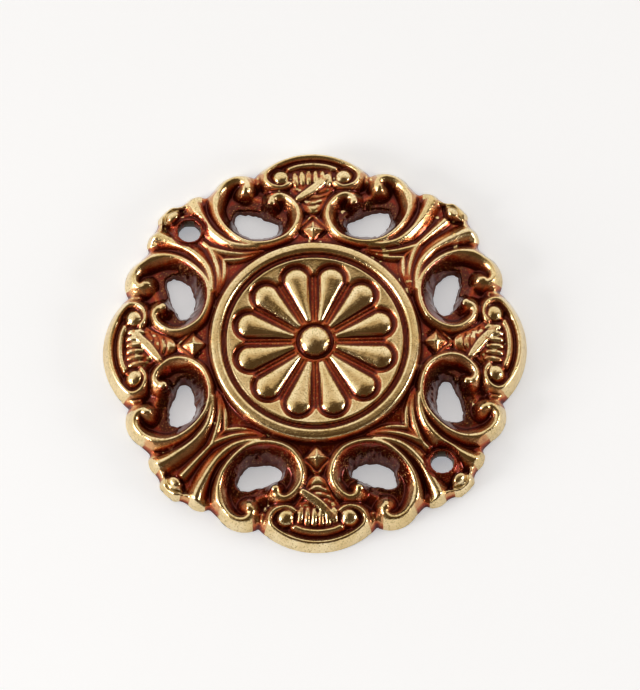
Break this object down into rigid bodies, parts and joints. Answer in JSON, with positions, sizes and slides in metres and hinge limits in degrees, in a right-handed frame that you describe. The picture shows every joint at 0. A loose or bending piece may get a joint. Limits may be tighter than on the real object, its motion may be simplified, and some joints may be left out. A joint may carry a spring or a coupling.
{
  "type": "cast ornamental rosette",
  "caption": "Round openwork cast rosette: petalled medallion in a ring, scrolled and leafed border, flat back, two screw holes.",
  "frame": {"origin": "centre of the flat back, on the surface it is screwed to", "axes": "+Z out of the decorated face; +Y towards the top of the picture, so the two screw holes lie up-left and down-right"},
  "size_m": [0.057, 0.057, 0.0053],
  "materials": {
    "antique_brass": "polished high points, dark lacquer in the hollows"
  },
  "bodies": {
    "root": {"rosette": "antique_brass"}
  },
  "joints": []
}
